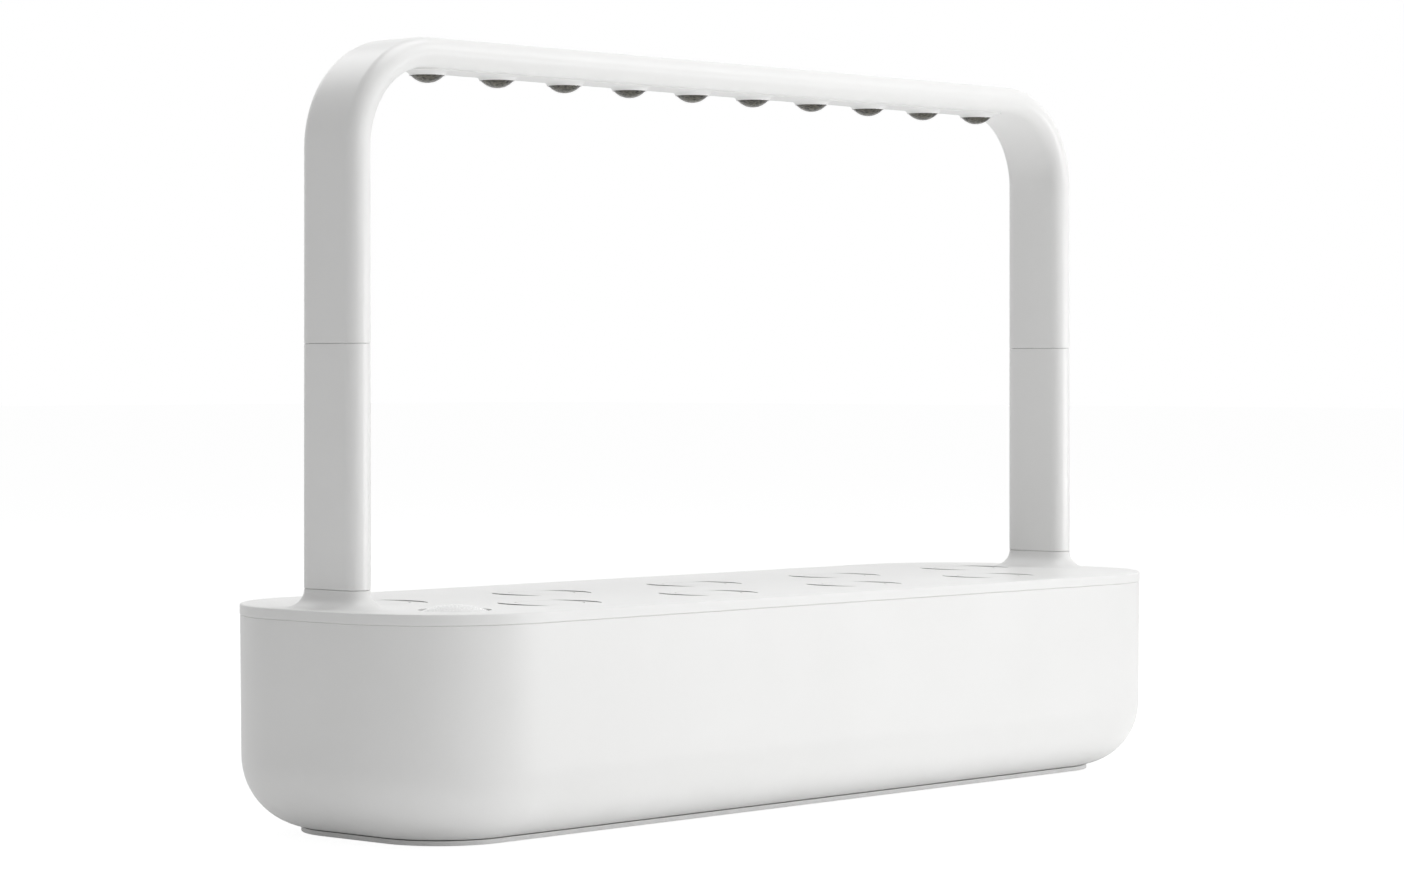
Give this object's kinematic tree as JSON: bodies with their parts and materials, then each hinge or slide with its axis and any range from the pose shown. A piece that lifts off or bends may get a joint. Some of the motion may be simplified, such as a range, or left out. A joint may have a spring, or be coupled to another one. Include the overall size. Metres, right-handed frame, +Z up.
{
  "type": "countertop hydroponic garden",
  "caption": "Long white water tank with rounded ends, a flush lid of plant cups with crescent finger slots, and a lamp arch with smoked lenses on two round-ended arms.",
  "frame": {"origin": "under the middle of the foot, on the surface that the pads stand on", "axes": "+X along the tank to the right, -Y towards the front where the water float is, +Z up"},
  "size_m": [0.61, 0.187, 0.4008],
  "materials": {
    "white_plastic": "satin moulded",
    "gloss_white": "semi-gloss moulded",
    "grey_plastic": "moulded",
    "black_plastic": "moulded",
    "smoked_lens": "smoked translucent, polished",
    "pad_rubber": "matt",
    "growing_soil": "fibrous growing medium",
    "wick_felt": "needle felt",
    "foam": "closed-cell foam",
    "board_metal": "white-coated aluminium board"
  },
  "bodies": {
    "tank": {"water_tank": "white_plastic", "base_foot": "white_plastic", "pad_front_left": "pad_rubber", "pad_front_right": "pad_rubber", "pad_back_left": "pad_rubber", "pad_back_right": "pad_rubber"},
    "lid": {"lid": "white_plastic", "dc_inlet": "black_plastic", "power_lead": "black_plastic", "spigot_lower_left": "grey_plastic", "spigot_lower_right": "grey_plastic"},
    "cup_1": {"plant_cup_1": "white_plastic", "wick_1": "wick_felt"},
    "cup_2": {"plant_cup_2": "white_plastic", "wick_2": "wick_felt"},
    "cup_3": {"plant_cup_3": "white_plastic", "wick_3": "wick_felt"},
    "cup_4": {"plant_cup_4": "white_plastic", "wick_4": "wick_felt"},
    "cup_5": {"plant_cup_5": "white_plastic", "wick_5": "wick_felt"},
    "cup_6": {"plant_cup_6": "white_plastic", "wick_6": "wick_felt"},
    "cup_7": {"plant_cup_7": "white_plastic", "wick_7": "wick_felt"},
    "cup_8": {"plant_cup_8": "white_plastic", "wick_8": "wick_felt"},
    "cup_9": {"plant_cup_9": "white_plastic", "wick_9": "wick_felt"},
    "pod_1": {"growing_plug_1": "growing_soil", "pod_cover_1": "white_plastic"},
    "pod_2": {"growing_plug_2": "growing_soil", "pod_cover_2": "white_plastic"},
    "pod_3": {"growing_plug_3": "growing_soil", "pod_cover_3": "white_plastic"},
    "pod_4": {"growing_plug_4": "growing_soil", "pod_cover_4": "white_plastic"},
    "pod_5": {"growing_plug_5": "growing_soil", "pod_cover_5": "white_plastic"},
    "pod_6": {"growing_plug_6": "growing_soil", "pod_cover_6": "white_plastic"},
    "pod_7": {"growing_plug_7": "growing_soil", "pod_cover_7": "white_plastic"},
    "pod_8": {"growing_plug_8": "growing_soil", "pod_cover_8": "white_plastic"},
    "pod_9": {"growing_plug_9": "growing_soil", "pod_cover_9": "white_plastic"},
    "float": {"float_cap": "gloss_white", "float_block": "foam"},
    "arm_left": {"extension_left": "white_plastic", "spigot_upper_left": "grey_plastic"},
    "arm_right": {"extension_right": "white_plastic", "spigot_upper_right": "grey_plastic"},
    "lamp": {"lamp_arch": "white_plastic", "led_panel": "white_plastic", "lens_strip": "smoked_lens", "led_board": "board_metal", "driver_module": "black_plastic"}
  },
  "joints": [
    {"name": "lid_lift", "type": "slide", "parent": "tank", "child": "lid", "axis": [0, 0, 1], "range_m": [0, 0.12]},
    {"name": "cup_1_lift", "type": "slide", "parent": "lid", "child": "cup_1", "axis": [0, 0, 1], "range_m": [0, 0.11]},
    {"name": "cup_2_lift", "type": "slide", "parent": "lid", "child": "cup_2", "axis": [0, 0, 1], "range_m": [0, 0.11]},
    {"name": "cup_3_lift", "type": "slide", "parent": "lid", "child": "cup_3", "axis": [0, 0, 1], "range_m": [0, 0.11]},
    {"name": "cup_4_lift", "type": "slide", "parent": "lid", "child": "cup_4", "axis": [0, 0, 1], "range_m": [0, 0.11]},
    {"name": "cup_5_lift", "type": "slide", "parent": "lid", "child": "cup_5", "axis": [0, 0, 1], "range_m": [0, 0.11]},
    {"name": "cup_6_lift", "type": "slide", "parent": "lid", "child": "cup_6", "axis": [0, 0, 1], "range_m": [0, 0.11]},
    {"name": "cup_7_lift", "type": "slide", "parent": "lid", "child": "cup_7", "axis": [0, 0, 1], "range_m": [0, 0.11]},
    {"name": "cup_8_lift", "type": "slide", "parent": "lid", "child": "cup_8", "axis": [0, 0, 1], "range_m": [0, 0.11]},
    {"name": "cup_9_lift", "type": "slide", "parent": "lid", "child": "cup_9", "axis": [0, 0, 1], "range_m": [0, 0.11]},
    {"name": "pod_1_lift", "type": "slide", "parent": "cup_1", "child": "pod_1", "axis": [0, 0, 1], "range_m": [0, 0.062]},
    {"name": "pod_2_lift", "type": "slide", "parent": "cup_2", "child": "pod_2", "axis": [0, 0, 1], "range_m": [0, 0.062]},
    {"name": "pod_3_lift", "type": "slide", "parent": "cup_3", "child": "pod_3", "axis": [0, 0, 1], "range_m": [0, 0.062]},
    {"name": "pod_4_lift", "type": "slide", "parent": "cup_4", "child": "pod_4", "axis": [0, 0, 1], "range_m": [0, 0.062]},
    {"name": "pod_5_lift", "type": "slide", "parent": "cup_5", "child": "pod_5", "axis": [0, 0, 1], "range_m": [0, 0.062]},
    {"name": "pod_6_lift", "type": "slide", "parent": "cup_6", "child": "pod_6", "axis": [0, 0, 1], "range_m": [0, 0.062]},
    {"name": "pod_7_lift", "type": "slide", "parent": "cup_7", "child": "pod_7", "axis": [0, 0, 1], "range_m": [0, 0.062]},
    {"name": "pod_8_lift", "type": "slide", "parent": "cup_8", "child": "pod_8", "axis": [0, 0, 1], "range_m": [0, 0.062]},
    {"name": "pod_9_lift", "type": "slide", "parent": "cup_9", "child": "pod_9", "axis": [0, 0, 1], "range_m": [0, 0.062]},
    {"name": "float_rise", "type": "slide", "parent": "lid", "child": "float", "axis": [0, 0, 1], "range_m": [0, 0.022]},
    {"name": "arm_left_lift", "type": "slide", "parent": "lid", "child": "arm_left", "axis": [0, 0, 1], "range_m": [0, 0.03]},
    {"name": "arm_right_lift", "type": "slide", "parent": "lid", "child": "arm_right", "axis": [0, 0, 1], "range_m": [0, 0.03]},
    {"name": "lamp_lift", "type": "slide", "parent": "arm_left", "child": "lamp", "axis": [0, 0, 1], "range_m": [0, 0.03]}
  ],
  "couplings": [
    {"joint": "arm_right_lift", "follows": "arm_left_lift", "ratio": 1}
  ]
}
